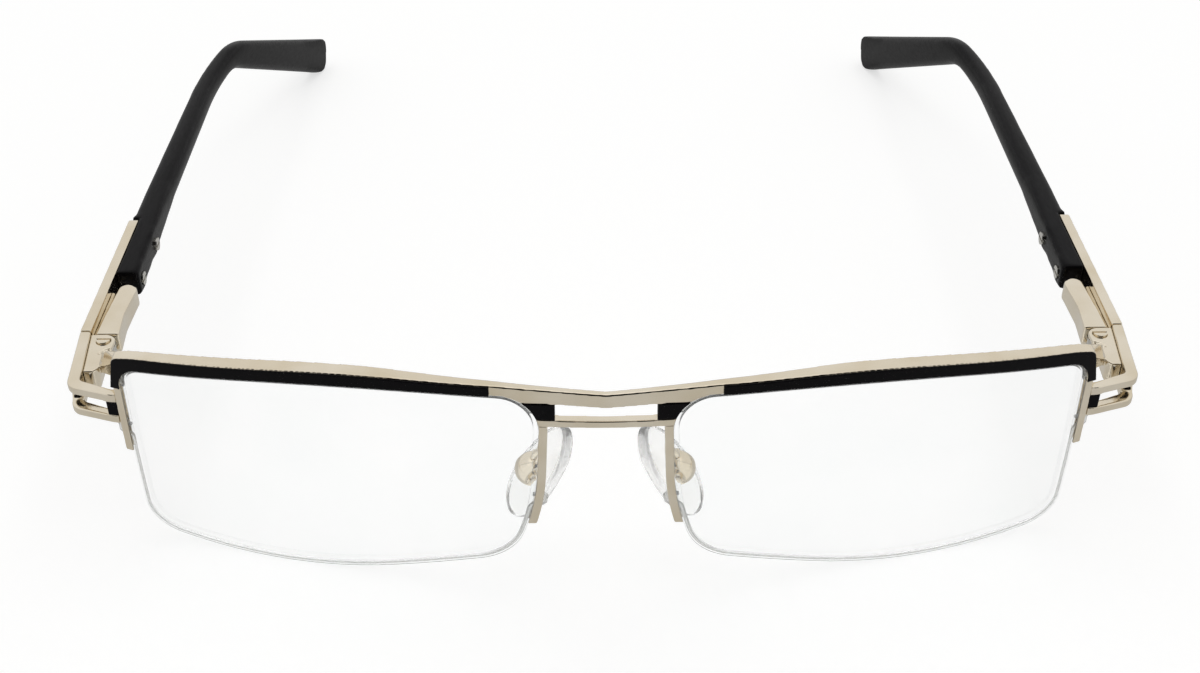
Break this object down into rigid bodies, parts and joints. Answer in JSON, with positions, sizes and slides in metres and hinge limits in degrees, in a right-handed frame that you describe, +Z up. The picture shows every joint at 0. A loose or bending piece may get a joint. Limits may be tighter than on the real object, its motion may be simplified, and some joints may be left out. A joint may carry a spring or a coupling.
{
  "type": "half-rim reading glasses",
  "caption": "Half-rim reading glasses with a slim metal brow bar, rimless lower lens edges, clear nose pads, sprung hinges and dark sleeved temples.",
  "frame": {"origin": "centre of the bounding box, on the surface that the lens edges and the temple tips stand on", "axes": "+X across the face to the right as seen from the front, +Y back along the open temples, +Z up"},
  "size_m": [0.1404, 0.165, 0.034],
  "materials": {
    "pale_gold": "polished pale gold plating on nickel silver",
    "black_enamel": "gloss black enamel",
    "black_acetate": "polished acetate",
    "demo_lens": "clear",
    "clear_nylon": "clear",
    "clear_silicone": "clear, smooth",
    "steel": "ground",
    "screw_steel": "polished"
  },
  "bodies": {
    "front": {"brow_bar": "pale_gold", "lower_bridge_bar": "pale_gold", "brow_inlay_l": "black_enamel", "brow_inlay_r": "black_enamel", "bridge_block_l": "black_enamel", "bridge_block_r": "black_enamel", "nasal_rim_l": "pale_gold", "nasal_rim_r": "pale_gold", "temporal_rim_l": "pale_gold", "temporal_rim_r": "pale_gold", "endpiece_l": "pale_gold", "endpiece_r": "pale_gold", "endpiece_inlay_l": "black_enamel", "endpiece_inlay_r": "black_enamel", "hinge_bracket_l": "pale_gold", "hinge_bracket_r": "pale_gold", "hinge_screw_l": "pale_gold", "hinge_screw_r": "pale_gold", "lens_l": "demo_lens", "lens_r": "demo_lens", "lens_liner_l": "clear_nylon", "lens_liner_r": "clear_nylon", "nylon_thread_l": "clear_nylon", "nylon_thread_r": "clear_nylon", "pad_arm_l": "pale_gold", "pad_arm_r": "pale_gold", "pad_box_l": "pale_gold", "pad_box_r": "pale_gold", "pad_screw_l": "pale_gold", "pad_screw_r": "pale_gold"},
    "pad_l": {"nose_pad_l": "clear_silicone"},
    "pad_r": {"nose_pad_r": "clear_silicone"},
    "tongue_l": {"hinge_tongue_l": "steel", "tongue_nut_l": "steel"},
    "tongue_r": {"hinge_tongue_r": "steel", "tongue_nut_r": "steel"},
    "temple_l": {"spring_box_l": "pale_gold", "spring_bush_l": "steel", "hinge_spring_l": "steel", "temple_plate_l": "pale_gold", "temple_sleeve_l": "black_acetate", "core_wire_l": "steel", "sleeve_screws_l": "screw_steel"},
    "temple_r": {"spring_box_r": "pale_gold", "spring_bush_r": "steel", "hinge_spring_r": "steel", "temple_plate_r": "pale_gold", "temple_sleeve_r": "black_acetate", "core_wire_r": "steel", "sleeve_screws_r": "screw_steel"}
  },
  "joints": [
    {"name": "fold_l", "type": "hinge", "parent": "front", "child": "tongue_l", "pos_m": [-0.0654, -0.05943, 0.02318], "axis": [0, 0, -1], "range_deg": [0, 70]},
    {"name": "flex_l", "type": "slide", "parent": "tongue_l", "child": "temple_l", "axis": [0, 1, 0], "range_m": [0, 0.001], "stiffness_N_per_m": 2000, "springref_m": -0.001, "deforming": ["hinge_spring_l"]},
    {"name": "pad_rock_l", "type": "hinge", "parent": "front", "child": "pad_l", "pos_m": [-0.0096, -0.07533, 0.01628], "axis": [-0.4066, 0.8829, 0.2347], "range_deg": [-8, 8]},
    {"name": "fold_r", "type": "hinge", "parent": "front", "child": "tongue_r", "pos_m": [0.0654, -0.05943, 0.02318], "axis": [0, 0, 1], "range_deg": [0, 88]},
    {"name": "flex_r", "type": "slide", "parent": "tongue_r", "child": "temple_r", "axis": [0, 1, 0], "range_m": [0, 0.001], "stiffness_N_per_m": 2000, "springref_m": -0.001, "deforming": ["hinge_spring_r"]},
    {"name": "pad_rock_r", "type": "hinge", "parent": "front", "child": "pad_r", "pos_m": [0.0096, -0.07533, 0.01628], "axis": [0.4066, 0.8829, 0.2347], "range_deg": [-8, 8]}
  ]
}
